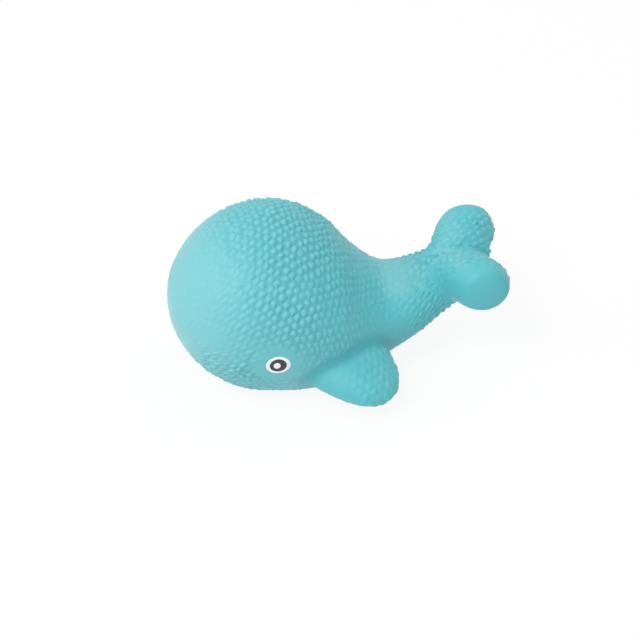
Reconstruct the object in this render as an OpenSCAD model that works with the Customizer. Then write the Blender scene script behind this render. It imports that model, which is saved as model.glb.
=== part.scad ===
// Squeaky bath toy: a hollow natural-rubber whale with a reed squeaker in its belly.
// The head points towards -X, the tail towards +X, and the belly lies on z = 0.

/* [Whale] */
// Overall length, from the front of the head to the ends of the flukes
body_length = 130; // [100:1:170]
// Height of the top of the head above the surface that the belly lies on
head_height = 68; // [54:1:90]
// Width of the head at its widest
head_width = 73; // [56:1:95]
// Thickness of the moulded rubber
wall = 2; // [1.4:0.1:3]

/* [Flippers] */
// Length of a flipper, from its root inside the body to its tip
flipper_length = 37; // [32:1:50]
// Width of a flipper across its widest part
flipper_width = 36; // [28:1:44]
// Thickness of a flipper
flipper_thickness = 21; // [16:1:26]
// Angle by which a flipper is swept back from straight out
flipper_sweep = 37; // [20:1:45]
// Angle by which a flipper slopes down towards its tip
flipper_droop = 13; // [5:1:20]

/* [Flukes] */
// Length of a fluke, from its root inside the tail to its tip
fluke_length = 26; // [22:1:34]
// Width of a fluke across its widest part
fluke_width = 23; // [17:1:28]
// Thickness of a fluke
fluke_thickness = 19.5; // [14:0.5:22]
// Angle by which a fluke is swept back from straight out
fluke_sweep = 5.5; // [0:0.5:30]
// Angle by which a fluke rises towards its tip
fluke_rise = 11; // [0:1:30]

/* [Eyes] */
// Diameter of the white of an eye
eye_white_d = 9.4; // [7:0.1:11]
// Diameter of the dark pupil
pupil_d = 6.8; // [5:0.1:8]
// Diameter of the white glint in the pupil
glint_d = 3; // [2:0.1:3.6]
// Thickness of each coat of paint
paint = 0.25; // [0.15:0.05:0.4]

/* [Squeaker] */
// Diameter of the hole in the belly
hole_d = 16; // [13:0.5:18]
// Thickness of the rubber lip round the hole
lip = 2.4; // [1.6:0.1:3]
// Width of the squeaker's flange outside the hole
flange_reach = 2.6; // [1.8:0.1:3.4]
// Thickness of the squeaker's two flanges
flange = 1; // [0.8:0.1:1.4]
// Outer diameter of the squeaker's barrel
barrel_d = 9.6; // [8.6:0.1:11]
// Bore of the squeaker's barrel
barrel_bore_d = 7.2; // [6.4:0.1:8]
// Length of the barrel above the inner flange
barrel_length = 10; // [8:0.5:13]
// Diameter of the air hole in the flange
air_hole_d = 3.6; // [2.5:0.1:4.5]

/* [Reed] */
// Width of the reed
reed_width = 4.2; // [3:0.1:4.8]
// Thickness of the reed
reed_thickness = 0.2; // [0.15:0.05:0.35]
// Angle through which the reed swings each way
reed_swing = 3; // [2:0.5:4]

/* [Hidden] */
$fn = 48;

// Overrun of a cut past the face that it opens
overrun = 1;
// Clearance between pieces that are fitted or painted together
fit_gap = 0.04;
// Steps between two stations of a loft, and points round a station
skin_steps = 3;
skin_points = 40;
limb_steps = 3;
limb_points = 24;
cavity_steps = 2;
cavity_points = 28;
// Share of a step over which a loft's slope is measured
probe_share = 0.05;

// Stations of the body from the front of the head to the fluke root, as shares:
// [place along the length, height of the centre, height above it, depth below it, half width].
// Heights are shares of head_height and half widths are shares of head_width.
body_shares = [
    [0.000, 0.470, 0.000, 0.000, 0.000],
    [0.014, 0.470, 0.163, 0.168, 0.154],
    [0.059, 0.470, 0.311, 0.320, 0.296],
    [0.125, 0.470, 0.428, 0.440, 0.407],
    [0.210, 0.470, 0.503, 0.525, 0.480],
    [0.304, 0.470, 0.530, 0.560, 0.500],
    [0.396, 0.456, 0.498, 0.560, 0.490],
    [0.488, 0.420, 0.405, 0.490, 0.440],
    [0.560, 0.363, 0.297, 0.381, 0.348],
    [0.641, 0.327, 0.217, 0.293, 0.267],
    [0.738, 0.374, 0.195, 0.215, 0.222],
    [0.810, 0.444, 0.188, 0.155, 0.192],
    [0.873, 0.474, 0.153, 0.107, 0.152],
    [0.922, 0.505, 0.103, 0.077, 0.111],
    [0.946, 0.518, 0.000, 0.000, 0.000]
];

// Stations of a flipper or fluke from root to tip, as shares:
// [place along the limb, shift of the centre to the rear, half width, half thickness].
flipper_shares = [
    [0.00, 0.02, 0.000, 0.000],
    [0.08, 0.02, 0.450, 0.480],
    [0.30, 0.03, 0.500, 0.500],
    [0.55, 0.03, 0.440, 0.430],
    [0.76, 0.03, 0.350, 0.330],
    [0.90, 0.03, 0.245, 0.225],
    [0.97, 0.03, 0.135, 0.125],
    [1.00, 0.03, 0.000, 0.000]
];
fluke_shares = [
    [0.00, 0.00, 0.000, 0.000],
    [0.08, 0.00, 0.360, 0.420],
    [0.35, 0.00, 0.460, 0.480],
    [0.60, 0.012, 0.505, 0.500],
    [0.82, 0.014, 0.400, 0.430],
    [0.95, 0.015, 0.240, 0.260],
    [1.00, 0.025, 0.000, 0.000]
];

// Roots of the limbs, as shares of the length, of head_width and of head_height
flipper_root_share = [0.438, -0.201, 0.271];
fluke_root_share = [0.897, -0.010, 0.545];

// Place of the eyes on the body loft: station number and angle below the horizontal
eye_station = 4.84;
eye_angle = 7.75;

// Places along the length, as shares
squeaker_share = 0.33;

body_rows = [for (s = body_shares) [
    (s[0] - 0.5) * body_length, 0, s[1] * head_height,
    s[2] * head_height, s[3] * head_height, s[4] * head_width]];
flipper_rows = limb_rows(flipper_shares, flipper_length, flipper_width, flipper_thickness);
fluke_rows = limb_rows(fluke_shares, fluke_length, fluke_width, fluke_thickness);

squeaker_x = (squeaker_share - 0.5) * body_length;
flange_d = hole_d + 2 * flange_reach;
// The flange lies in a recess, so that the toy rests on rubber
flange_gap = 0.3;
// Height of the snap barb, as a share of a flange's thickness
barb_share = 1.6;
recess_depth = flange_gap + flange + fit_gap;
recess_d = flange_d + 2 * fit_gap;
lip_top = recess_depth + lip;
collar_d = recess_d + 2 * wall;
neck_d = hole_d - 2 * fit_gap;
barb_d = hole_d + flange_reach;
barb_height = barb_share * flange;
barrel_floor = lip_top + fit_gap;
barrel_top = barrel_floor + barb_height + barrel_length;

// The reed stands upright on the barrel's axis, with its seat towards +X and its clamp towards -X
clamp_length = 3;
pinch = 1.2;
end_gap = 0.6;
// Angle by which the seat falls away beyond the reed's swing
relief_spare = 1;
// Width of the air channel as a share of the reed's, and its depth as a share of the seat's
channel_width_share = 0.55;
channel_depth_share = 0.24;
clamp_top = barrel_floor + clamp_length;
hinge_z = clamp_top - pinch / 2;
seat_top = barrel_top - end_gap;
reed_top = seat_top - end_gap;
seat_d = barrel_bore_d - 2 * fit_gap;
// Half the slot between seat and clamp, wide enough for the pinched end to swing
slot_half = reed_thickness / 2 + fit_gap + pinch / 2 * sin(reed_swing);
relief_angle = reed_swing + relief_spare;
channel_w = reed_width * channel_width_share;
channel_depth = seat_d * channel_depth_share;
channel_roof = 2 * end_gap;

eye_point = loft_point(body_rows, eye_station, 180 + eye_angle);
eye_normal = loft_normal(body_rows, eye_station, 180 + eye_angle);
// Rise of the head's curve across the white of the eye
eye_rise = pow(eye_white_d / 2, 2) / head_width;
// Shift of the glint to the front, as a share of its diameter
glint_shift_share = 0.17;
// Rings in the curve of a coat of paint
paint_rings = 6;
// Floor of the pocket in the white that takes the pupil and the glint
pocket_z = dome_z(pupil_d / 2) - paint / 2;
glint_shift = glint_d * glint_shift_share;

// Height of the head's curve at radius r from the middle of an eye
function dome_z(r) = eye_rise - pow(r, 2) / head_width;

function limb_rows(shares, length, width, thickness) = [for (s = shares) [
    s[0] * length, s[1] * length, 0,
    s[3] * thickness, s[3] * thickness, s[2] * width]];

// A station past either end is the one before it turned inside out, which rounds the end
function turned(r) = [r[0], r[1], r[2], -r[3], -r[4], -r[5]];
function station(rows, i) = i < 0 ? turned(rows[-i])
    : i >= len(rows) ? turned(rows[2 * len(rows) - 2 - i])
    : rows[i];

// Smooth curve through the stations
function curve(a, b, c, d, t) = b + 0.5 * t * (c - a + t * (2 * a - 5 * b + 4 * c - d
    + t * (3 * b - a - 3 * c + d)));
function between(rows, u) = let (i = min(floor(u), len(rows) - 2))
    curve(station(rows, i - 1), station(rows, i), station(rows, i + 1), station(rows, i + 2), u - i);

// Point of a loft at station u and angle v round it, and the outward normal there
function loft_point(rows, u, v) = let (s = between(rows, u))
    [s[0], s[1] + s[5] * cos(v), s[2] + (sin(v) < 0 ? s[4] : s[3]) * sin(v)];
function loft_normal(rows, u, v) = let (
    along = loft_point(rows, u + probe_share, v) - loft_point(rows, u - probe_share, v),
    round = loft_point(rows, u, v + 1) - loft_point(rows, u, v - 1),
    n = cross(round, along))
    n / norm(n);

// Closed loft through the stations, drawn in by inset and no lower than floor_z
module loft(rows, steps, points, inset = 0, floor_z = -body_length) {
    last = len(rows) - 1;
    rings = last * steps - 1;
    start = [rows[0][0] + inset, rows[0][1], rows[0][2]];
    end = [rows[last][0] - inset, rows[last][1], rows[last][2]];
    skin = [for (i = [1 : rings], j = [0 : points - 1])
        let (u = i / steps, v = 360 * j / points,
             p = loft_point(rows, u, v) - inset * loft_normal(rows, u, v))
        [p[0], p[1], max(p[2], floor_z)]];
    start_fan = [for (j = [0 : points - 1]) [0, j + 1, (j + 1) % points + 1]];
    sides = [for (i = [0 : rings - 2], j = [0 : points - 1])
        let (a = i * points + j + 1, b = i * points + (j + 1) % points + 1)
        each [[a, a + points, b + points], [a, b + points, b]]];
    tip = rings * points + 1;
    end_fan = [for (j = [0 : points - 1])
        let (a = (rings - 1) * points)
        [tip, a + (j + 1) % points + 1, a + j + 1]];
    polyhedron(points = concat([start], skin, [end]), faces = concat(start_fan, sides, end_fan));
}

// Places a limb's children on the left side, swept back and raised at the tip
module limb_place(root_share, sweep, rise) {
    root = [root_share[0] - 0.5, root_share[1], root_share[2]];
    translate([root[0] * body_length, root[1] * head_width, root[2] * head_height])
        rotate([0, -rise, sweep - 90])
            children();
}

module both_sides() {
    children();
    mirror([0, 1, 0]) children();
}

// The whale's form, drawn in by inset
module whale(steps, limb_ring_steps, points, limb_ring_points, inset, floor_z) {
    loft(body_rows, steps, points, inset, floor_z);
    both_sides() {
        limb_place(flipper_root_share, flipper_sweep, -flipper_droop)
            loft(flipper_rows, limb_ring_steps, limb_ring_points, inset);
        limb_place(fluke_root_share, fluke_sweep, fluke_rise)
            loft(fluke_rows, limb_ring_steps, limb_ring_points, inset);
    }
}

// Hollow moulding, still with a narrow hole where the squeaker goes. The rounded tips leave the
// form a hair short of the overall length, so it is drawn out to it.
module moulding() {
    resize([body_length, 0, 0]) difference() {
        whale(skin_steps, limb_steps, skin_points, limb_points, 0, 0);
        difference() {
            whale(cavity_steps, cavity_steps, cavity_points, limb_points, wall, wall);
            translate([squeaker_x, 0, 0]) cylinder(h = lip_top, d = collar_d);
        }
        translate([squeaker_x, 0, -overrun]) cylinder(h = lip_top + 2 * overrun, d = hole_d / 2);
    }
}

module body_skin() {
    color("mediumturquoise") difference() {
        moulding();
        translate([squeaker_x, 0, -overrun]) cylinder(h = recess_depth + overrun, d = recess_d);
        translate([squeaker_x, 0, -overrun]) cylinder(h = lip_top + 2 * overrun, d = hole_d);
        both_sides() eye_place()
            translate([0, 0, -paint]) cylinder(h = eye_rise + paint + overrun, d = eye_white_d);
    }
}

// Puts children on the left eye, with +Z outward and z = 0 where the paint's flat back ends
module eye_place() {
    translate(eye_point)
        rotate([0, acos(eye_normal[2]), atan2(eye_normal[1], eye_normal[0])])
            translate([0, 0, -eye_rise]) children();
}

module squeaker_housing() {
    color("ivory") translate([squeaker_x, 0, 0]) difference() {
        union() {
            translate([0, 0, flange_gap]) cylinder(h = flange, d = flange_d);
            translate([0, 0, flange_gap]) cylinder(h = barrel_floor - flange_gap, d = neck_d);
            translate([0, 0, barrel_floor]) cylinder(h = barb_height, d1 = barb_d, d2 = neck_d);
            translate([0, 0, barrel_floor]) cylinder(h = barrel_top - barrel_floor, d = barrel_d);
        }
        translate([0, 0, barrel_floor]) cylinder(h = barrel_top, d = barrel_bore_d);
        translate([0, 0, -overrun]) cylinder(h = barrel_top, d = air_hole_d);
    }
}

// Half of a round bar of the barrel's bore, standing on the barrel's floor up to top_z
module half_bar(top_z) {
    intersection() {
        translate([0, 0, barrel_floor + fit_gap]) cylinder(h = top_z - barrel_floor - fit_gap, d = seat_d);
        translate([slot_half, -seat_d, 0]) cube([seat_d, 2 * seat_d, barrel_top]);
    }
}

module reed_seat() {
    color("gainsboro") translate([squeaker_x, 0, 0]) difference() {
        half_bar(seat_top);
        // Air channel under the reed, closed at the top
        translate([0, -channel_w / 2, 0])
            cube([slot_half + channel_depth, channel_w, seat_top - channel_roof]);
        // The face falls away from the reed, so that the reed can beat on it
        translate([slot_half, -seat_d, clamp_top])
            rotate([0, relief_angle, 0])
                translate([-seat_d, 0, 0]) cube([seat_d, 2 * seat_d, barrel_top]);
    }
}

module reed_clamp() {
    color("gainsboro") translate([squeaker_x, 0, 0]) mirror([1, 0, 0]) half_bar(clamp_top);
}

module reed() {
    length = reed_top - clamp_top + pinch;
    color("silver") translate([squeaker_x - reed_thickness / 2, 0, clamp_top - pinch])
        rotate([90, 0, 90]) linear_extrude(reed_thickness) {
            translate([-reed_width / 2, 0]) square([reed_width, length - reed_width / 2]);
            translate([0, length - reed_width / 2]) circle(d = reed_width);
        }
}

// Disc of paint with a flat back at floor_z and the head's curve on its front
module paint_disc(d, floor_z) {
    r = d / 2;
    rotate_extrude() polygon(concat(
        [[0, floor_z], [r, floor_z]],
        [for (i = [paint_rings : -1 : 0]) let (at = r * i / paint_rings) [at, dome_z(at)]]));
}

module eye_white() {
    eye_place() difference() {
        paint_disc(eye_white_d - 2 * fit_gap, fit_gap - paint);
        translate([0, 0, pocket_z]) cylinder(h = paint + overrun, d = pupil_d);
    }
}

module pupil() {
    eye_place() difference() {
        paint_disc(pupil_d - 2 * fit_gap, pocket_z + fit_gap);
        translate([0, -glint_shift, pocket_z - overrun]) cylinder(h = paint + 2 * overrun, d = glint_d);
    }
}

module eye_glint() {
    eye_place() intersection() {
        paint_disc(pupil_d, pocket_z + fit_gap);
        translate([0, -glint_shift, pocket_z]) cylinder(h = paint + overrun, d = glint_d - 2 * fit_gap);
    }
}

module eye_white_left() { color("white") eye_white(); }
module pupil_left() { color("dimgray") pupil(); }
module eye_glint_left() { color("white") eye_glint(); }
module eye_white_right() { color("white") mirror([0, 1, 0]) eye_white(); }
module pupil_right() { color("dimgray") mirror([0, 1, 0]) pupil(); }
module eye_glint_right() { color("white") mirror([0, 1, 0]) eye_glint(); }

body_skin();
squeaker_housing();
reed_seat();
reed();
reed_clamp();
eye_white_left();
pupil_left();
eye_glint_left();
eye_white_right();
pupil_right();
eye_glint_right();
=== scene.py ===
import math

import bmesh
import bpy
import numpy as np
from mathutils import Matrix, Vector
from mathutils.bvhtree import BVHTree


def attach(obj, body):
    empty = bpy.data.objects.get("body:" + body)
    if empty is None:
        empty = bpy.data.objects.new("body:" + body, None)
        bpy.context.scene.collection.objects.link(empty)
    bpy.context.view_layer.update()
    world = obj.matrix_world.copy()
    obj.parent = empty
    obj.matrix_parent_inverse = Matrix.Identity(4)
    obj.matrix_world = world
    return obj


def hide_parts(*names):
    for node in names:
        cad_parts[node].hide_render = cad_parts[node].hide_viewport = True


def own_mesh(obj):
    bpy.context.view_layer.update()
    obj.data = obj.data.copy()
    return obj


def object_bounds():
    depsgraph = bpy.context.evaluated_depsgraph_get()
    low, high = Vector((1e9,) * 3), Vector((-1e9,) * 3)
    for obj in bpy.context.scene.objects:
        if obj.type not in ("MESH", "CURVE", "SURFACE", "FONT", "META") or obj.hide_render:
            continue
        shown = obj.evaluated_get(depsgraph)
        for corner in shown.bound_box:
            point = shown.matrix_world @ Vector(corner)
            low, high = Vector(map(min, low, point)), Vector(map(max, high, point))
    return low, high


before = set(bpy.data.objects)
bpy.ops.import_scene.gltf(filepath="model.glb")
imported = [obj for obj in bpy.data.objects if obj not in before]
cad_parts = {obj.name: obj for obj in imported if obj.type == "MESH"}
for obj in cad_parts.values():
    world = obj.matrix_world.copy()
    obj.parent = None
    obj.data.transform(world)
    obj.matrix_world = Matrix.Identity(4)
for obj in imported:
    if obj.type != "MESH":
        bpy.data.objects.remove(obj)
cadBox = [list(corner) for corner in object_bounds()]
mm = 0.001
scene = bpy.context.scene
print("frame loaded:", ", ".join(sorted(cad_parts)))


def linear(hexColour):
    # sRGB hex to the linear colour that a socket takes
    parts = [int(hexColour[i:i + 2], 16) / 255 for i in (1, 3, 5)]
    return (*(c / 12.92 if c <= 0.04045 else ((c + 0.055) / 1.055) ** 2.4 for c in parts), 1)


def addNode(tree, kind, settings=None, inputs=None):
    # adds a node; an input is a plain value, a socket, or a node whose first output it takes
    node = tree.nodes.new(kind)
    for name, value in (settings or {}).items():
        if name == "stops":
            ramp = node.color_ramp.elements
            while len(ramp) < len(value):
                ramp.new(0.5)
            for element, (place, colour) in zip(ramp, value):
                element.position, element.color = place, colour
        elif name == "curve":
            points = node.mapping.curves[0].points
            while len(points) < len(value):
                points.new(0.5, 0.5)
            for point, place in zip(points, value):
                point.location = place
            node.mapping.update()
        else:
            setattr(node, name, value)
    for name, value in (inputs or {}).items():
        if isinstance(value, bpy.types.Node):
            value = value.outputs[0]
        if isinstance(value, bpy.types.NodeSocket):
            tree.links.new(value, node.inputs[name])
        else:
            node.inputs[name].default_value = value
    return node


def newMaterial(name):
    material = bpy.data.materials.new(name)
    material.use_nodes = True
    material.node_tree.nodes.clear()
    return material, material.node_tree


def meshObject(name, points, faces, material=None):
    mesh = bpy.data.meshes.new(name)
    mesh.from_pydata([tuple(p) for p in points], [], [tuple(f) for f in faces])
    shell = bmesh.new()
    shell.from_mesh(mesh)
    bmesh.ops.recalc_face_normals(shell, faces=shell.faces)
    shell.to_mesh(mesh)
    shell.free()
    mesh.shade_smooth()
    if material:
        mesh.materials.append(material)
    thing = bpy.data.objects.new(name, mesh)
    scene.collection.objects.link(thing)
    return thing


def applyModifiers(thing):
    # the evaluated result becomes the object's own plain mesh
    evaluated = thing.evaluated_get(bpy.context.evaluated_depsgraph_get())
    plain = bpy.data.meshes.new_from_object(evaluated)
    thing.modifiers.clear()
    thing.data = plain
    return thing


def meshPoints(mesh):
    points = np.empty(len(mesh.vertices) * 3)
    mesh.vertices.foreach_get("co", points)
    return points.reshape(-1, 3)


def smoothStep(low, high, value):
    # 0 at low, 1 at high, smooth between them and level outside; low may be the larger of the two
    t = np.clip((value - low) / (high - low), 0, 1)
    return t * t * (3 - 2 * t)


def seenDirectly(tree):
    # 1 for what the camera sees, also in a reflection or through something clear
    ray = addNode(tree, "ShaderNodeLightPath")
    seen = ray.outputs["Is Camera Ray"]
    for other in ("Is Glossy Ray", "Is Transmission Ray"):
        seen = addNode(tree, "ShaderNodeMath", {"operation": "MAXIMUM"},
                       {0: seen, 1: ray.outputs[other]})
    return seen


def awayAt(azimuth, elevation):
    # the way out from the toy at an azimuth and an elevation in degrees; 0, 0 is its left side
    turn, tilt = math.radians(azimuth), math.radians(elevation)
    return Vector((math.sin(turn) * math.cos(tilt), -math.cos(turn) * math.cos(tilt),
                   math.sin(tilt)))


# The camera stands where the photograph was taken from, and aims a little past the toy's middle
# so that the toy falls where it does in the photograph.
photoView = {
    "azimuth": -8.74,
    "elevation": 40.39,
    "distance": 1.2,
    "lens": 176.1,
    "middle": (0, 0, 0.034),
    "aimRight": -6.20 * mm,
    "aimUp": -14.35 * mm,
}
turn = math.radians(photoView["azimuth"])
viewBack = awayAt(photoView["azimuth"], photoView["elevation"])
viewRight = Vector((math.cos(turn), math.sin(turn), 0))
viewUp = viewBack.cross(viewRight)
middle = Vector(photoView["middle"])
aim = middle + viewRight * photoView["aimRight"] + viewUp * photoView["aimUp"]
camera = bpy.data.objects.new("camera", bpy.data.cameras.new("camera"))
camera.data.lens = photoView["lens"]
camera.location = middle + viewBack * photoView["distance"]
camera.rotation_euler = (camera.location - aim).to_track_quat("Z", "Y").to_euler()
scene.collection.objects.link(camera)
scene.camera = camera
scene.view_settings.view_transform = "Standard"

# Soft studio light: a broad key from the front left, a low light at the nose, a weak one from
# behind and white all round. Each lamp has its azimuth and elevation in degrees and its watts.
studio = {
    "surround": 0.51,
    "lamps": {"key": (-50, 55, 10.4), "noseLight": (-95, 25, 3.0), "frontLight": (0, 25, 1.45),
              "backLight": (135, 55, 3.0)},
    "lampSize": 0.7,
    "lampDistance": 1.35,
    "floorGrey": "#F2F2F2",
    "floorWhite": 0.9,
    "floorHalf": 1.5,
}
world = bpy.data.worlds.new("studio")
scene.world = world
world.use_nodes = True
world.node_tree.nodes.clear()
strength = addNode(world.node_tree, "ShaderNodeMapRange", {}, {
    "Value": seenDirectly(world.node_tree), "To Min": studio["surround"], "To Max": 1.0})
sky = addNode(world.node_tree, "ShaderNodeBackground", {},
              {"Color": linear("#FFFFFF"), "Strength": strength})
addNode(world.node_tree, "ShaderNodeOutputWorld", {}, {"Surface": sky})
for name, (around, up, watts) in studio["lamps"].items():
    lamp = bpy.data.objects.new(name, bpy.data.lights.new(name, "AREA"))
    lamp.data.shape = "DISK"
    lamp.data.size = studio["lampSize"]
    lamp.data.energy = watts
    away = awayAt(around, up)
    lamp.location = middle + away * studio["lampDistance"]
    lamp.rotation_euler = away.to_track_quat("Z", "Y").to_euler()
    scene.collection.objects.link(lamp)

# White paper sweep: the camera sees it nearly white, and it keeps the toy's shadow.
paper, paperTree = newMaterial("whitePaper")
paperShare = addNode(paperTree, "ShaderNodeMath", {"operation": "MULTIPLY"},
                     {0: seenDirectly(paperTree), 1: studio["floorWhite"]})
matt = addNode(paperTree, "ShaderNodeBsdfDiffuse", {}, {"Color": linear(studio["floorGrey"])})
bright = addNode(paperTree, "ShaderNodeEmission", {},
                 {"Color": linear("#FFFFFF"), "Strength": 1.0})
mixed = addNode(paperTree, "ShaderNodeMixShader", {}, {0: paperShare, 1: matt, 2: bright})
addNode(paperTree, "ShaderNodeOutputMaterial", {}, {"Surface": mixed})
half = studio["floorHalf"]
floor = meshObject("floor", [
    (-half, -half, 0), (half, -half, 0), (half, half, 0), (-half, half, 0)], [(0, 1, 2, 3)], paper)
print("camera, light and floor placed")

# The whale's form. Body and flippers have the same stations as the solids, and the flukes' roots
# are broader than theirs. A station of the body gives its place along the length, height of the
# centre, height above it, depth below it and half width. Lengths are in millimetres.
whale = {
    "length": 130,
    "height": 68,
    "width": 73,
    "stations": [
        [0.000, 0.470, 0.000, 0.000, 0.000],
        [0.014, 0.470, 0.163, 0.168, 0.154],
        [0.059, 0.470, 0.311, 0.320, 0.296],
        [0.125, 0.470, 0.428, 0.440, 0.407],
        [0.210, 0.470, 0.503, 0.525, 0.480],
        [0.304, 0.470, 0.530, 0.560, 0.500],
        [0.396, 0.456, 0.498, 0.560, 0.490],
        [0.488, 0.420, 0.405, 0.490, 0.440],
        [0.560, 0.363, 0.297, 0.381, 0.348],
        [0.641, 0.327, 0.217, 0.293, 0.267],
        [0.738, 0.374, 0.195, 0.215, 0.222],
        [0.810, 0.444, 0.188, 0.155, 0.192],
        [0.873, 0.474, 0.153, 0.107, 0.152],
        [0.922, 0.505, 0.103, 0.077, 0.111],
        [0.946, 0.518, 0.000, 0.000, 0.000],
    ],
    "wall": 2,
    "skinRows": 10,
    "skinRound": 96,
    "hollowRows": 3,
    "hollowRound": 48,
    "mesh": 0.42,
    "mostTriangles": 185000,
    "creaseSearch": 12,
    "filletReach": 1.6,
    "tailFilletReach": 11.0,
    "filletTailFrom": (30, 40),
    "filletTailTo": (58, 62),
    "smoothRounds": 4,
    "smoothShare": 0.5,
    "filletRounds": 240,
    "filletShare": 0.6,
    "pebbleRoom": 0.8,
}
# A limb's stations: place along it, shift of the centre to the rear, half width, half thickness
flipper = {
    "length": 37, "width": 36, "thickness": 21, "sweep": 37, "rise": -13,
    "root": (0.438, -0.201, 0.271),
    "stations": [
        [0.00, 0.02, 0.000, 0.000],
        [0.08, 0.02, 0.450, 0.480],
        [0.30, 0.03, 0.500, 0.500],
        [0.55, 0.03, 0.440, 0.430],
        [0.76, 0.03, 0.350, 0.330],
        [0.90, 0.03, 0.245, 0.225],
        [0.97, 0.03, 0.135, 0.125],
        [1.00, 0.03, 0.000, 0.000],
    ],
}
fluke = {
    "length": 24.5, "width": 23, "thickness": 19.5, "sweep": 6, "rise": 12.5,
    "root": (0.905, -0.010, 0.545),
    "stations": [
        [0.00, -0.10, 0.000, 0.000],
        [0.08, -0.214, 0.533, 0.450],
        [0.35, -0.134, 0.520, 0.490],
        [0.60, -0.058, 0.528, 0.500],
        [0.83, -0.016, 0.439, 0.460],
        [0.95, 0.00, 0.322, 0.335],
        [1.00, 0.00, 0.000, 0.000],
    ],
}


def curveThrough(rows, u):
    # the rows at stations u of a smooth curve through them; past an end it turns inside out
    inside = np.array([1, 1, 1, -1, -1, -1])
    padded = np.vstack([rows[1] * inside, rows, rows[-2] * inside])
    i = np.clip(np.floor(u).astype(int), 0, len(rows) - 2)
    t = (u - i)[:, None]
    a, b, c, d = padded[i], padded[i + 1], padded[i + 2], padded[i + 3]
    return b + 0.5 * t * (c - a + t * (2 * a - 5 * b + 4 * c - d + t * (3 * b - a - 3 * c + d)))


def formPoints(rows, u, v):
    # points of a form at stations u (down) and angles v (across), in millimetres
    s = curveThrough(rows, u)[:, :, None]
    rise = np.where(np.sin(v) < 0, s[:, 4], s[:, 3]) * np.sin(v)
    return np.stack([s[:, 0] + 0 * rise, s[:, 1] + s[:, 5] * np.cos(v), s[:, 2] + rise], axis=-1)


def formNormals(rows, u, v):
    step = 0.02
    along = formPoints(rows, u + step, v) - formPoints(rows, u - step, v)
    around = formPoints(rows, u, v + step) - formPoints(rows, u, v - step)
    normals = np.cross(around, along)
    return normals / np.linalg.norm(normals, axis=-1, keepdims=True)


def formMesh(rows, steps, around, inset=0.0, lowest=-math.inf):
    # closed skin of a form, drawn in by inset and no lower than lowest
    last = len(rows) - 1
    u = np.arange(1, last * steps) / steps
    v = np.arange(around) * 2 * math.pi / around
    grid = formPoints(rows, u, v)
    if inset:
        grid = grid - inset * formNormals(rows, u, v)
    ends = np.array([rows[0][:3], rows[-1][:3]]) + [[inset, 0, 0], [-inset, 0, 0]]
    points = np.vstack([grid.reshape(-1, 3), ends])
    points[:, 2] = np.maximum(points[:, 2], lowest)
    rings, count = len(u), around
    faces = []
    for j in range(count):
        k = (j + 1) % count
        faces.append((rings * count, k, j))
        faces.append((rings * count + 1, (rings - 1) * count + j, (rings - 1) * count + k))
        for i in range(rings - 1):
            faces.append((i * count + j, i * count + k, (i + 1) * count + k, (i + 1) * count + j))
    return points, faces


whaleRows = np.array([[(s[0] - 0.5) * whale["length"], 0, s[1] * whale["height"],
                       s[2] * whale["height"], s[3] * whale["height"], s[4] * whale["width"]]
                      for s in whale["stations"]])


def limbRows(limb):
    return np.array([[s[0] * limb["length"], s[1] * limb["length"], 0, s[3] * limb["thickness"],
                      s[3] * limb["thickness"], s[2] * limb["width"]] for s in limb["stations"]])


def limbPlace(limb, side):
    # from a limb's own axes to the whale's; side is 1 on the left and -1 on the right
    root = [limb["root"][0] - 0.5, limb["root"][1], limb["root"][2]]
    at = Vector((root[0] * whale["length"], root[1] * whale["width"], root[2] * whale["height"]))
    return (Matrix.Diagonal((1, side, 1, 1)) @ Matrix.Translation(at)
            @ Matrix.Rotation(math.radians(limb["sweep"] - 90), 4, "Z")
            @ Matrix.Rotation(math.radians(-limb["rise"]), 4, "Y"))


forms = [(whaleRows, Matrix.Identity(4))]
for limb in (flipper, fluke):
    for side in (1, -1):
        forms.append((limbRows(limb), limbPlace(limb, side)))


def moved(points, place):
    m = np.array(place)
    return points @ m[:3, :3].T + m[:3, 3]


allPoints, allFaces, formTrees = [], [], []
for index, (rows, place) in enumerate(forms):
    points, faces = formMesh(rows, whale["skinRows"], whale["skinRound"],
                             lowest=0.0 if index == 0 else -math.inf)
    points = moved(points, place) * mm
    formTrees.append(BVHTree.FromPolygons([tuple(p) for p in points], faces))
    start = sum(len(p) for p in allPoints)
    allPoints.append(points)
    allFaces += [tuple(start + i for i in face) for face in faces]
skin = meshObject("whaleSkin", np.vstack(allPoints), allFaces)
joined = skin.modifiers.new("joined", "REMESH")
joined.mode = "VOXEL"
joined.voxel_size = whale["mesh"] * mm
applyModifiers(skin)
print("skin joined:", len(skin.data.vertices), "points")

# Distance of each point from the second nearest form: small only in the creases. Its owner is
# the nearest: 0 is the body, 1 and 2 are the flippers, 3 and 4 the flukes.
points = meshPoints(skin.data)
distances = np.empty((len(points), len(forms)))
for column, tree in enumerate(formTrees):
    found = [tree.find_nearest(Vector(p), whale["creaseSearch"] * mm)[3] for p in points]
    distances[:, column] = [whale["creaseSearch"] if d is None else d / mm for d in found]
owner = distances.argmin(axis=1)
crease = np.sort(distances, axis=1)[:, 1]

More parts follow.
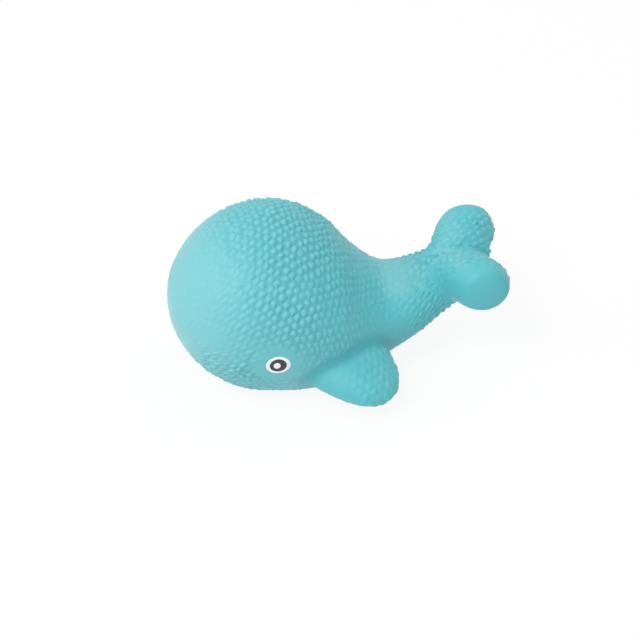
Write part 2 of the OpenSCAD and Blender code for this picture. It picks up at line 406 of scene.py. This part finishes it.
# The moulding's creases are rounded: points near them are drawn towards their neighbours
edges = np.empty(len(skin.data.edges) * 2, dtype=np.int32)
skin.data.edges.foreach_get("vertices", edges)
edges = edges.reshape(-1, 2)
ends = np.concatenate([edges[:, 0], edges[:, 1]])
others = np.concatenate([edges[:, 1], edges[:, 0]])
valence = np.bincount(ends, minlength=len(points))[:, None]
onTail = smoothStep(*whale["filletTailFrom"], points[:, 0] / mm)
onTail *= 1 - smoothStep(*whale["filletTailTo"], points[:, 0] / mm)
reach = whale["filletReach"] + onTail * (whale["tailFilletReach"] - whale["filletReach"])
softness = (1 - smoothStep(0, 1, crease / reach))[:, None]
for lap in range(whale["filletRounds"]):
    mean = np.stack([np.bincount(ends, points[others, axis], len(points)) for axis in range(3)], 1)
    smoothing = lap < whale["smoothRounds"]
    share = whale["smoothShare"] if smoothing else whale["filletShare"] * softness
    points += share * (mean / valence - points)
points[:, 2] = np.maximum(points[:, 2], 0)
# the rear half is drawn out to its length again, less the room that the pebbles need
points[points[:, 0] > 0, 0] *= (cadBox[1][0] - whale["pebbleRoom"] * mm) / points[:, 0].max()
skin.data.vertices.foreach_set("co", points.ravel())
skin.data.update()
smoothSkin = BVHTree.FromObject(skin, bpy.context.evaluated_depsgraph_get())
print("creases rounded")

# How the rings of pebbles lie: how many degrees the body's lean forward at the top, the steps
# each is measured in, the centre line's first station and its points, and how flat a ring is kept
ringLayout = {
    "lean": 20,
    "steps": 180,
    "lineStation": 5,
    "linePoints": 60,
    "evenness": 0.5,
}


def ringsRound(tree, where, ahead, up, line):
    # Rings lie in planes square to ahead, round a centre line. Gives how far along the surface
    # each point's ring is, and how far round it from the top the point lies, in millimetres.
    side = np.cross(up, ahead)
    at, lineAt = where @ ahead, line @ ahead

    def centres(t):
        on = np.stack([np.interp(t, lineAt, line[:, axis]) for axis in range(3)], axis=-1)
        return on + (t - np.clip(t, lineAt[0], lineAt[-1]))[:, None] * ahead

    steps, even = ringLayout["steps"], ringLayout["evenness"]
    places = np.linspace(at.min(), at.max(), int(at.max() - at.min()) + 2)
    angles = np.linspace(-math.pi, math.pi, steps + 1)
    ways = np.cos(angles)[:, None] * up + np.sin(angles)[:, None] * side
    reach = np.zeros((len(places), steps + 1))
    for i, centre in enumerate(centres(places)):
        for j, way in enumerate(ways):
            reach[i, j] = (tree.ray_cast(Vector(centre) * mm, Vector(way))[3] or 0) / mm
    spots = centres(places)[:, None] + reach[:, :, None] * ways
    chords = np.linalg.norm(np.diff(spots, axis=1), axis=-1)
    around = np.hstack([np.zeros((len(places), 1)), np.cumsum(chords, axis=1)])
    around -= around[:, [steps // 2]]
    chords = np.linalg.norm(np.diff(spots, axis=0), axis=-1)
    along = np.vstack([np.zeros(steps + 1), np.cumsum(chords, axis=0)])
    along = (1 - even) * along + even * along.mean(axis=1, keepdims=True)
    away = where - centres(at)
    i = (at - places[0]) / (places[1] - places[0])
    j = (np.arctan2(away @ side, away @ up) + math.pi) / (2 * math.pi) * steps
    i0, j0 = np.minimum(i.astype(int), len(places) - 2), np.minimum(j.astype(int), steps - 1)
    i, j = i - i0, j - j0
    return [(table[i0, j0] * (1 - j) + table[i0, j0 + 1] * j) * (1 - i)
            + (table[i0 + 1, j0] * (1 - j) + table[i0 + 1, j0 + 1] * j) * i
            for table in (along, around)]


# The pebbles stand in rings. Those of the body lean forward at the top and go on over the
# flippers; each fluke has its own rings round it.
leant = math.radians(ringLayout["lean"])
ringAhead = np.array([math.cos(leant), 0, -math.sin(leant)])
ringUp = np.array([math.sin(leant), 0, math.cos(leant)])
inMm = points / mm
ringPlace, roundPlace = np.zeros(len(points)), np.zeros(len(points))
for index, (rows, place) in enumerate(forms):
    mine = owner == index
    if index == 0:
        stations = np.linspace(ringLayout["lineStation"], len(rows) - 1,
                               ringLayout["linePoints"])
        line = curveThrough(rows, stations)[:, :3]
        found = ringsRound(formTrees[0], inMm[mine], ringAhead, ringUp, line)
    elif index in (1, 2):
        across = np.cross(np.array(place)[:3, 2], ringAhead)
        found = inMm[mine] @ ringAhead, inMm[mine] @ (across / np.linalg.norm(across))
    else:
        turned = np.array(place)[:3, :3]
        line = moved(rows[:, :3], place)
        found = ringsRound(formTrees[index], inMm[mine], turned[:, 0], turned[:, 2], line)
    ringPlace[mine], roundPlace[mine] = found

# Eyes, in millimetres: their place on the form, and each coat's half width, half height, shift
# to the front and how far it stands proud. The profile runs from a coat's middle to its rim, in
# shares of its width and of how proud it stands, and its rim then goes down into the skin.
eyes = {
    "station": 4.84,
    "below": 7.75,
    "coats": {
        "eye_white": (4.66, 4.66, 0.0, 0.08),
        "pupil": (3.26, 3.52, 0.0, 0.15),
        "eye_glint": (1.36, 1.66, 0.45, 0.22),
    },
    "profile": [(0, 1), (0.3, 1), (0.55, 1), (0.75, 1), (0.88, 1), (0.95, 0.9), (0.99, 0.5),
                (1.0, 0.0)],
    "sunk": 0.2,
    "round": 48,
    "castFrom": 10,
    "smoothFrom": 5.0,
    "smoothTo": 12.5,
}
eyeAngle = np.array([math.radians(180 + eyes["below"])])
eyeCentre = formPoints(whaleRows, np.array([eyes["station"]]), eyeAngle)[0, 0]
eyeNormal = formNormals(whaleRows, np.array([eyes["station"]]), eyeAngle)[0, 0]

# The pebbles' sizes in millimetres and their variation, as inputs of the node group below
pebbles = {
    "Ring spacing": 2.6,
    "Pebble spacing": 3.75,
    "Pebble height": 0.6,
    "Sunk": 0.5,
    "Pebble half width": 1.38,
    "Pebble half length": 1.5,
    "Roundness": 1.5,
    "Flatness": 0.7,
    "Ring ridge": 0.1,
    "Ridge half width": 0.8,
    "Unevenness": 0.4,
    "Jitter": 0.5,
    "Wander": 2.4,
    "Patchiness": 0.6,
    "Patch middle": 0.9,
    "Patch least": 0.25,
    "Seed": 7,
}
# Where the pebbles, the painted sheen and the painted shade grow and fade. The pebbles fade out
# round the eyes, in the creases and on the flat of the belly. They are fainter on the nose, low on
# the sides and on the flippers, and worn smooth outside on the flukes. Each row gives a share,
# where
# its growth starts and where it is full: in millimetres along x, up z, out from the middle or away
# from a crease, or by how much the skin faces outwards or upwards.
fades = {
    "brow": (0.95, -58, -24),
    "side": (0.7, 10, 42),
    "crown": (0.25, 50, 64),
    "shoulder": (0.2, -12, 0),
    "waist": (0.42, -4, 10),
    "waistEnd": (1, 34, 20),
    "tail": (0.8, 24, 38),
    "chin": (1.25, -65, -51),
    "chinEnd": (1, -24, -46),
    "chinTop": (1, 36, 18),
    "flipper": (0.42, -6, 10),
    "flukeOutside": (0.9, -0.3, 0.4),
    "flukeFace": (1, 11, 19),
    "flukeTip": (0.5, 15, 23),
    "crease": (1, 0.8, 3.2),
    "tailCrease": (1, 0.3, 1.8),
    "belly": (1, 0.05, 2.5),
    "nosePaintedSheen": (0.6, -28, -62),
    "headPaintedSheen": (0.35, 6, -24),
    "topPaintedSheen": (0.8, 0.7, 1.0),
    "topPaintedSheenStart": (1, 6, 22),
    "topPaintedSheenEnd": (1, 52, 43),
    "creaseShade": (0.8, 5, 0.5),
    "flankShade": (0.35, 18, 34),
    "flankOutside": (1, -0.1, 0.5),
    "flankShadeStop": (0.3, 44, 52),
}
# What a fade leaves, the flukes' share, the flippers' painted shade and where the tail starts
leastPebbles = {"brow": 0.25, "side": 0.3, "flipper": 0.22}
flukePebbles = 0.9
flipperShade = 0.2
tailStart = 30


def fade(name, value):
    share, low, high = fades[name]
    return share * smoothStep(low, high, value)


normals = np.empty(len(points) * 3)
skin.data.vertices.foreach_get("normal", normals)
normals = normals.reshape(-1, 3)
x, z, spread = inMm[:, 0], inMm[:, 2], np.abs(inMm[:, 1])
facesOut, facesUp = normals[:, 1] * np.sign(inMm[:, 1]), normals[:, 2]
onBody = ((leastPebbles["brow"] + fade("brow", x)) * (leastPebbles["side"] + fade("side", z))
          * (1 - fade("waist", x) * fade("waistEnd", x))
          * (1 - fade("shoulder", x)) * (1 + fade("crown", z)))
onBody *= 1 + fade("tail", x)
onBody += fade("chin", x) * fade("chinEnd", x) * fade("chinTop", z)
onFlipper = leastPebbles["flipper"] + fade("flipper", x)
onFluke = flukePebbles * (1 - fade("flukeOutside", facesOut) * fade("flukeFace", spread)) * (
    1 - fade("flukeTip", spread))
amount = np.choose(owner, [onBody, onFlipper, onFlipper, onFluke, onFluke])
amount *= np.where(x > tailStart, fade("tailCrease", crease), fade("crease", crease))
amount *= fade("belly", z)
for side in (1, -1):
    eyeDistance = np.linalg.norm(inMm - eyeCentre * [1, side, 1], axis=1)
    amount *= smoothStep(eyes["smoothFrom"], eyes["smoothTo"], eyeDistance)
# painted sheen: paler colour on the nose and along the top of the tail, where light falls
bloom = (fade("nosePaintedSheen", x) + fade("headPaintedSheen", x)
         + fade("topPaintedSheen", facesUp) * fade("topPaintedSheenStart", x) * fade("topPaintedSheenEnd", x))
# and painted shade darkens it in the creases, on the tail's flanks and on the flippers
closeness = np.maximum(fade("creaseShade", crease) * (x < tailStart),
                       fade("flankShade", x) * fade("flankOutside", facesOut)
                       * (1 - fade("flankShadeStop", x)))
closeness = np.maximum(closeness, flipperShade * ((owner == 1) | (owner == 2)))
for name, values in (("ringPlace", ringPlace), ("roundPlace", roundPlace), ("amount", amount),
                     ("bloom", bloom), ("closeness", closeness)):
    attribute = skin.data.attributes.new(name, "FLOAT", "POINT")
    attribute.data.foreach_set("value", values.astype(np.float32))
print("pebble rows laid out")

# Natural latex rubber, cast in a mould and tumbled: a satin, slightly cloudy turquoise with a soft
# pale sheen where it turns away. Painted shade darkens it in the grooves, the creases, on the
# tail's flanks and on the flippers; a painted sheen lightens the nose and the top of the tail.
rubber = {
    "colour": "#51B3BB",
    # the painted shade's colour, darker
    "paintedShadeColour": "#3B9EA7",
    "cloud": "#59B9C1",
    # the painted sheen's colour, paler, for where light falls
    "bloom": "#72BAC0",
    "cloudSize": 18,
    "grain": 0.35,
    "grooveDepths": (-0.6, -0.1),
    "paintedShadeStrength": 0.55,
}
rubberSkin, tree = newMaterial("castLatexRubber")
where = addNode(tree, "ShaderNodeTexCoord").outputs["Object"]
height = addNode(tree, "ShaderNodeAttribute", {"attribute_name": "pebble"}).outputs["Fac"]
clouds = addNode(tree, "ShaderNodeTexNoise", {}, {
    "Vector": where, "Scale": 1 / (rubber["cloudSize"] * mm), "Detail": 3.0, "Roughness": 0.5})
tint = addNode(tree, "ShaderNodeValToRGB", {"stops": [
    (0.35, linear(rubber["colour"])), (0.75, linear(rubber["cloud"]))]}, {"Fac": clouds})
# painted sheen: the paler colour is mixed in on the nose and along the top of the tail
withPaintedSheen = addNode(tree, "ShaderNodeMix", {"data_type": "RGBA"}, {
    0: addNode(tree, "ShaderNodeAttribute", {"attribute_name": "bloom"}).outputs["Fac"],
    6: tint, 7: linear(rubber["bloom"])})
# painted shade: the darker colour goes into the grooves, creases, tail flanks and flippers
deepest, shallowest = rubber["grooveDepths"]
depth = addNode(tree, "ShaderNodeMapRange", {}, {
    "Value": height, "From Min": deepest, "From Max": shallowest, "To Min": rubber["paintedShadeStrength"],
    "To Max": 0.0})
paintedShadeShare = addNode(tree, "ShaderNodeAttribute", {"attribute_name": "closeness"}).outputs["Fac"]
depth = addNode(tree, "ShaderNodeMath", {"operation": "MAXIMUM"}, {0: depth, 1: paintedShadeShare})
withPaintedShade = addNode(tree, "ShaderNodeMix", {"data_type": "RGBA"}, {
    0: depth, 6: withPaintedSheen.outputs[2], 7: linear(rubber["paintedShadeColour"])})
grain = addNode(tree, "ShaderNodeTexNoise", {}, {
    "Vector": where, "Scale": 1 / (rubber["grain"] * mm), "Detail": 4.0, "Roughness": 0.6})
bump = addNode(tree, "ShaderNodeBump", {}, {
    "Height": grain, "Strength": 0.15, "Distance": 0.05 * mm})
dull = addNode(tree, "ShaderNodeMapRange", {}, {
    "Value": clouds, "To Min": 0.5, "To Max": 0.62})
surface = addNode(tree, "ShaderNodeBsdfPrincipled", {}, {
    "Base Color": withPaintedShade.outputs[2], "Roughness": dull, "IOR": 1.52, "Normal": bump,
    "Subsurface Weight": 0.12, "Subsurface Radius": (0.4, 0.9, 1.0), "Subsurface Scale": 0.002,
    "Sheen Weight": 0.25, "Sheen Roughness": 0.45, "Sheen Tint": linear("#E8FBFF")})
addNode(tree, "ShaderNodeOutputMaterial", {}, {"Surface": surface})

# Geometry Nodes raise the pebbles: rings of them round each form, each ring half a pebble out of
# step with the one before it, so that diamond-shaped pebbles meet along slanting grooves.
# Noise, in waves per metre, makes the rows wander and some patches bolder than others.
noiseScales = {"wander": 110.0, "patch": 60.0}
grown = bpy.data.node_groups.new("pebbledSkin", "GeometryNodeTree")
grown.interface.new_socket("Geometry", in_out="INPUT", socket_type="NodeSocketGeometry")
for name, value in pebbles.items():
    kind = "NodeSocketInt" if name == "Seed" else "NodeSocketFloat"
    grown.interface.new_socket(name, in_out="INPUT", socket_type=kind).default_value = value
grown.interface.new_socket("Geometry", in_out="OUTPUT", socket_type="NodeSocketGeometry")
given = addNode(grown, "NodeGroupInput")
known = {name: given.outputs[name] for name in pebbles}
for name in ("ringPlace", "roundPlace", "amount"):
    known[name] = addNode(grown, "GeometryNodeInputNamedAttribute", {"data_type": "FLOAT"},
                          {"Name": name})
spot = addNode(grown, "GeometryNodeInputPosition")
wanderNoise = addNode(grown, "ShaderNodeTexNoise", {}, {
    "Vector": spot, "Scale": noiseScales["wander"], "Detail": 1.0})
split = addNode(grown, "ShaderNodeSeparateXYZ", {}, {"Vector": wanderNoise.outputs["Color"]})
known["noiseA"], known["noiseB"] = split.outputs[0], split.outputs[1]
known["patchNoise"] = addNode(grown, "ShaderNodeTexNoise", {}, {
    "Vector": spot, "Scale": noiseScales["patch"], "Detail": 2.0})


def addSums(steps):
    # adds a Math node for each step, and keeps it by its name for the steps after it
    for name, operation, *sources in steps:
        known[name] = addNode(grown, "ShaderNodeMath", {"operation": operation},
                              {i: known.get(s, s) for i, s in enumerate(sources)})


addSums([
    ("swayA", "SUBTRACT", "noiseA", 0.5), ("swayA", "MULTIPLY", "swayA", "Wander"),
    ("swayB", "SUBTRACT", "noiseB", 0.5), ("swayB", "MULTIPLY", "swayB", "Wander"),
    ("down", "ADD", "ringPlace", "swayA"), ("ring", "DIVIDE", "down", "Ring spacing"),
    ("round", "ADD", "roundPlace", "swayB"), ("turns", "DIVIDE", "round", "Pebble spacing"),
    ("halfRing", "MULTIPLY", "ring", 0.5),
    ("rise", "ADD", "halfRing", "turns"), ("riseIndex", "ROUND", "rise"),
    ("fall", "SUBTRACT", "halfRing", "turns"), ("fallIndex", "ROUND", "fall"),
    ("rise", "SUBTRACT", "rise", "riseIndex"), ("fall", "SUBTRACT", "fall", "fallIndex"),
    # each pebble's own number, for the random draws
    ("key", "MULTIPLY", "riseIndex", 997.0), ("key", "ADD", "key", "fallIndex"),
    ("least", "SUBTRACT", 1.0, "Unevenness"), ("most", "ADD", 1.0, "Unevenness"),
    ("back", "MULTIPLY", "Jitter", -1.0), ("seedB", "ADD", "Seed", 1), ("seedC", "ADD", "Seed", 2),
])
for name, low, high, seed in (("chance", "least", "most", "Seed"),
                              ("jitterA", "back", "Jitter", "seedB"),
                              ("jitterB", "back", "Jitter", "seedC")):
    draw = addNode(grown, "FunctionNodeRandomValue", {"data_type": "FLOAT"}, {
        "ID": known["key"], "Seed": known[seed]})
    for end, source in (("Min", low), ("Max", high)):
        socket = next(s for s in draw.inputs if s.name == end and s.type == "VALUE" and s.enabled)
        value = known[source]
        grown.links.new(value.outputs[0] if isinstance(value, bpy.types.Node) else value, socket)
    known[name] = next(s for s in draw.outputs if s.type == "VALUE" and s.enabled)
# a pebble falls off from its own middle, away from its ring and aside along it; a low ridge
# joins the pebbles of a ring
addSums([
    ("away", "ADD", "rise", "fall"), ("away", "MULTIPLY", "away", "Ring spacing"),
    ("away", "ADD", "away", "jitterA"), ("away", "ABSOLUTE", "away"),
    ("away", "DIVIDE", "away", "Pebble half width"), ("away", "POWER", "away", "Roundness"),
    ("aside", "SUBTRACT", "rise", "fall"), ("aside", "MULTIPLY", "aside", "Pebble spacing"),
    ("aside", "MULTIPLY", "aside", 0.5), ("aside", "ADD", "aside", "jitterB"),
    ("aside", "ABSOLUTE", "aside"), ("aside", "DIVIDE", "aside", "Pebble half length"),
    ("aside", "POWER", "aside", "Roundness"), ("shape", "ADD", "away", "aside"),
    ("shape", "SUBTRACT", 1.0, "shape"), ("shape", "MAXIMUM", "shape", 0.0),
    ("shape", "POWER", "shape", "Flatness"), ("shape", "MULTIPLY", "shape", "chance"),
    ("line", "ROUND", "ring"), ("line", "SUBTRACT", "ring", "line"),
    ("line", "MULTIPLY", "line", "Ring spacing"), ("line", "DIVIDE", "line", "Ridge half width"),
    ("line", "MULTIPLY", "line", "line"), ("line", "SUBTRACT", 1.0, "line"),
    ("line", "MULTIPLY", "line", "Ring ridge"), ("shape", "MAXIMUM", "shape", "line"),
    ("shape", "SUBTRACT", "shape", "Sunk"), ("shape", "MULTIPLY", "shape", "amount"),
    ("patch", "SUBTRACT", "patchNoise", 0.5), ("patch", "MULTIPLY", "patch", "Patchiness"),
    ("patch", "MULTIPLY", "patch", 2.0), ("patch", "ADD", "patch", "Patch middle"),
    ("patch", "MAXIMUM", "patch", "Patch least"), ("shape", "MULTIPLY", "shape", "patch"),
    ("lift", "MULTIPLY", "shape", "Pebble height"), ("lift", "MULTIPLY", "lift", mm),
])
marked = addNode(grown, "GeometryNodeStoreNamedAttribute", {"data_type": "FLOAT"}, {
    "Geometry": given.outputs["Geometry"], "Name": "pebble", "Value": known["shape"]})
offset = addNode(grown, "ShaderNodeVectorMath", {"operation": "SCALE"}, {
    0: addNode(grown, "GeometryNodeInputNormal"), "Scale": known["lift"]})
raised = addNode(grown, "GeometryNodeSetPosition", {}, {"Geometry": marked, "Offset": offset})
realised = addNode(grown, "GeometryNodeRealizeInstances", {}, {"Geometry": raised})
finished = addNode(grown, "GeometryNodeSetMaterial", {}, {
    "Geometry": realised, "Material": rubberSkin})
addNode(grown, "NodeGroupOutput", {}, {"Geometry": finished})
modifier = skin.modifiers.new("pebbles", "NODES")
modifier.node_group = grown
for item in grown.interface.items_tree:
    if item.in_out == "INPUT" and item.name in pebbles:
        modifier[item.identifier] = pebbles[item.name]
applyModifiers(skin)
thinned = skin.modifiers.new("thinned", "DECIMATE")
thinned.ratio = whale["mostTriangles"] / sum(len(p.vertices) - 2 for p in skin.data.polygons)
applyModifiers(skin)
points = meshPoints(skin.data)
points[:, 2] = np.maximum(points[:, 2], 0)
skin.data.vertices.foreach_set("co", points.ravel())
skin.data.update()
skin.data.shade_smooth()
print("pebbles raised on", len(skin.data.vertices), "points")

# Hollow, squeaker hole and squeaker, in millimetres. The toy rests on rubber, so the squeaker's
# flange lies in a recess, deep enough for it when the rubber is squashed. The rims of recess and
# hole are softly rounded: each point of one is given outwards and upwards from its edge.
squeaker = {
    "place": -22.1,
    "recessRadius": 10.64,
    "recessDepth": 1.64,
    "holeRadius": 8.0,
    "lipTop": 3.74,
    "collarRadius": 12.64,
    "flangeRadius": 10.6,
    "flangeGap": 0.3,
    "flange": 1.0,
    "neckRadius": 7.96,
    "floor": 3.78,
    "barbRadius": 9.3,
    "barb": 1.6,
    "barrelRadius": 4.8,
    "boreRadius": 3.6,
    "barrelTop": 15.38,
    "airRadius": 1.8,
    "collarLow": 0.5,
    "collarRound": 64,
    "round": 96,
    "beyond": 1,
    "recessRim": [(0.7, -0.02), (0.45, 0.05), (0.2, 0.17), (0.06, 0.36), (0.01, 0.6)],
    "lipRim": [(0.4, 0.0), (0.14, 0.1), (0.02, 0.3), (0.0, 0.5)],
    "sharpFrom": 40,
}
# The bevels on the squeaker's own edges
bevel = {
    "air": 0.3,
    "flange": 0.25,
    "corner": 0.07,
    "neckOut": 0.02,
    "neckUp": 0.05,
    "barb": 0.1,
    "root": 0.3,
    "end": 0.2,
    "bore": 0.15,
}


def turnedPiece(name, profile, around, material=None):
    # solid of revolution round the squeaker's axis; the profile runs from the axis or is a loop
    points, faces = [], []
    loop = profile[0][0] > 0
    for radius, up in profile:
        if radius == 0:
            points.append((squeaker["place"] * mm, 0, up * mm))
            continue
        for k in range(around):
            a = 2 * math.pi * k / around
            points.append(((squeaker["place"] + radius * math.cos(a)) * mm,
                           radius * math.sin(a) * mm, up * mm))
    starts, at = [], 0
    for radius, up in profile:
        starts.append(at)
        at += 1 if radius == 0 else around
    pairs = list(zip(range(len(profile) - 1), range(1, len(profile))))
    if loop:
        pairs.append((len(profile) - 1, 0))
    for i, j in pairs:
        for k in range(around):
            n = (k + 1) % around
            if profile[i][0] == 0:
                faces.append((starts[i], starts[j] + k, starts[j] + n))
            elif profile[j][0] == 0:
                faces.append((starts[i] + k, starts[j], starts[i] + n))
            else:
                faces.append((starts[i] + k, starts[j] + k, starts[j] + n, starts[i] + n))
    return meshObject(name, points, faces, material)


def cutWith(thing, tool, operation):
    bpy.context.view_layer.update()
    cut = thing.modifiers.new("cut", "BOOLEAN")
    cut.operation, cut.object, cut.solver = operation, tool, "MANIFOLD"
    applyModifiers(thing)
    bpy.data.objects.remove(tool)
    return thing


points, faces = formMesh(whaleRows, whale["hollowRows"], whale["hollowRound"],
                         inset=whale["wall"], lowest=whale["wall"])
hollow = meshObject("hollow", points * mm, faces, rubberSkin)
collar = turnedPiece("collar", [
    (0, squeaker["collarLow"]), (squeaker["collarRadius"], squeaker["collarLow"]),
    (squeaker["collarRadius"], squeaker["lipTop"]), (0, squeaker["lipTop"])],
    squeaker["collarRound"], rubberSkin)
cutWith(hollow, collar, "DIFFERENCE")
recess, hole, depth = (squeaker[name] for name in ("recessRadius", "holeRadius", "recessDepth"))
below, above = -squeaker["beyond"], squeaker["lipTop"] + squeaker["beyond"]
rim = [(recess + out, up) for out, up in squeaker["recessRim"]]
lip = [(hole + out, depth + up) for out, up in squeaker["lipRim"]]
opening = turnedPiece("opening", [
    (0, below), (rim[0][0], below), *rim, (recess, depth), *lip, (hole, above), (0, above)],
    squeaker["round"], rubberSkin)
cutWith(hollow, opening, "UNION")
cutWith(skin, hollow, "DIFFERENCE")
print("skin hollowed:", len(skin.data.vertices), "points",
      sum(len(p.vertices) - 2 for p in skin.data.polygons), "triangles")

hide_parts("body_skin")
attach(skin, "skin")

# Enamel paint, brushed on in three coats: smoother and a little shinier than the rubber.
paints = {"white": "#ECEEF0", "dark": "#2B2A33"}
strokeSize = 0.8
paintMaterials = {}
for name, colour in paints.items():
    material, tree = newMaterial(name + "EnamelPaint")
    where = addNode(tree, "ShaderNodeTexCoord").outputs["Object"]
    strokes = addNode(tree, "ShaderNodeTexNoise", {}, {
        "Vector": where, "Scale": 1 / (strokeSize * mm), "Detail": 2.0, "Roughness": 0.5})
    bump = addNode(tree, "ShaderNodeBump", {}, {
        "Height": strokes, "Strength": 0.2, "Distance": 0.04 * mm})
    gloss = addNode(tree, "ShaderNodeMapRange", {}, {
        "Value": strokes, "To Min": 0.3, "To Max": 0.42})
    shade = addNode(tree, "ShaderNodeHueSaturation", {}, {
        "Color": linear(colour), "Value": addNode(tree, "ShaderNodeMapRange", {}, {
            "Value": strokes, "To Min": 0.96, "To Max": 1.03})})
    surface = addNode(tree, "ShaderNodeBsdfPrincipled", {}, {
        "Base Color": shade, "Roughness": gloss, "IOR": 1.5, "Normal": bump})
    addNode(tree, "ShaderNodeOutputMaterial", {}, {"Surface": surface})
    paintMaterials[name] = material


def paintCoat(name, side, halfWidth, halfHeight, shift, proud, material):
    # a thin coat that follows the head's curve, with its rim turned down into the skin
    centre = Vector(eyeCentre * [1, side, 1]) * mm
    normal = Vector(eyeNormal * [1, side, 1]).normalized()
    front = Vector((-1, 0, 0))
    front = (front - normal * front.dot(normal)).normalized()
    up = normal.cross(front)
    if up.z < 0:
        up = -up
    rings = [(share, lift * proud) for share, lift in eyes["profile"]] + [(1.0, -eyes["sunk"])]
    around, points, faces = eyes["round"], [], []
    for share, lift in rings:
        for k in range(around if share else 1):
            a = 2 * math.pi * k / around
            flat = (centre + front * (share * halfWidth * math.cos(a) + shift) * mm
                    + up * share * halfHeight * math.sin(a) * mm)
            hit = smoothSkin.ray_cast(flat + normal * eyes["castFrom"] * mm, -normal)[0]
            points.append(hit + normal * lift * mm)
    back = len(points)
    points.append(points[0] - normal * (eyes["sunk"] + proud) * mm)
    last = 1 + (len(rings) - 2) * around
    for k in range(around):
        n = (k + 1) % around
        faces.append((0, 1 + k, 1 + n))
        for i in range(len(rings) - 2):
            a, b = 1 + i * around, 1 + (i + 1) * around
            faces.append((a + k, b + k, b + n, a + n))
        faces.append((last + k, back, last + n))
    coat = meshObject(name, points, faces, material)
    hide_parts(name)
    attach(coat, "skin")
    return coat


coats = []
for sideName, side in (("left", 1), ("right", -1)):
    for coatName, sizes in eyes["coats"].items():
        paint = paintMaterials["dark" if coatName == "pupil" else "white"]
        node = coatName + "_" + sideName
        coats.append(paintCoat(node, side, *sizes, paint))
print("eyes painted")

# Rigid polyethylene, injection moulded: milky white, waxy and smooth, for the squeaker.
plastic = {"colour": "#E9E6DC", "flowSize": 4, "reed": "#C9CCD0", "rollSize": 0.5}
mouldedWhite, tree = newMaterial("mouldedPolyethylene")
where = addNode(tree, "ShaderNodeTexCoord").outputs["Object"]
flow = addNode(tree, "ShaderNodeTexNoise", {}, {
    "Vector": where, "Scale": 1 / (plastic["flowSize"] * mm), "Detail": 3.0})
shade = addNode(tree, "ShaderNodeHueSaturation", {}, {
    "Color": linear(plastic["colour"]), "Value": addNode(tree, "ShaderNodeMapRange", {}, {
        "Value": flow, "To Min": 0.95, "To Max": 1.03})})
bump = addNode(tree, "ShaderNodeBump", {}, {
    "Height": flow, "Strength": 0.1, "Distance": 0.05 * mm})
surface = addNode(tree, "ShaderNodeBsdfPrincipled", {}, {
    "Base Color": shade, "Roughness": 0.38, "IOR": 1.51, "Normal": bump,
    "Subsurface Weight": 0.1, "Subsurface Scale": 0.001})
addNode(tree, "ShaderNodeOutputMaterial", {}, {"Surface": surface})
# Polyester film, die cut: the thin springy reed.
reedFilm, tree = newMaterial("polyesterFilm")
where = addNode(tree, "ShaderNodeTexCoord").outputs["Object"]
rolled = addNode(tree, "ShaderNodeTexNoise", {}, {
    "Vector": where, "Scale": 1 / (plastic["rollSize"] * mm), "Detail": 2.0})
gloss = addNode(tree, "ShaderNodeMapRange", {}, {"Value": rolled, "To Min": 0.18, "To Max": 0.3})
surface = addNode(tree, "ShaderNodeBsdfPrincipled", {}, {
    "Base Color": linear(plastic["reed"]), "Roughness": gloss, "IOR": 1.6})
addNode(tree, "ShaderNodeOutputMaterial", {}, {"Surface": surface})

air, flange, neck, barb, barrel, bore = (squeaker[name + "Radius"] for name in (
    "air", "flange", "neck", "barb", "barrel", "bore"))
low, seat, end = squeaker["flangeGap"], squeaker["floor"], squeaker["barrelTop"]
top, barbTop = low + squeaker["flange"], seat + squeaker["barb"]
housing = turnedPiece("squeakerHousing", [
    (air + bevel["air"], low), (flange - bevel["flange"], low),
    (flange - bevel["corner"], low + bevel["corner"]), (flange, low + bevel["flange"]),
    (flange, top - bevel["flange"]), (flange - bevel["corner"], top - bevel["corner"]),
    (flange - bevel["flange"], top), (neck + bevel["neckOut"], top),
    (neck, top + bevel["neckUp"]), (neck, seat), (barb - bevel["barb"], seat),
    (barb, seat + bevel["barb"]), (neck, barbTop), (barrel + bevel["root"], barbTop),
    (barrel, barbTop + bevel["root"]), (barrel, end - bevel["end"]),
    (barrel - bevel["end"], end), (bore + bevel["bore"], end), (bore, end - bevel["bore"]),
    (bore, seat), (air, seat), (air, low + bevel["air"])], squeaker["round"], mouldedWhite)
housing.data.set_sharp_from_angle(angle=math.radians(squeaker["sharpFrom"]))
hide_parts("squeaker_housing")
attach(housing, "squeaker")
for node, material in (("reed_seat", mouldedWhite), ("reed_clamp", mouldedWhite),
                       ("reed", reedFilm)):
    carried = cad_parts[node]
    for slot in carried.material_slots:
        slot.material = material
print("squeaker made")

# The skin and the eye coats each get a mesh of their own
for piece in [skin] + coats:
    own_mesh(piece)

print("done")
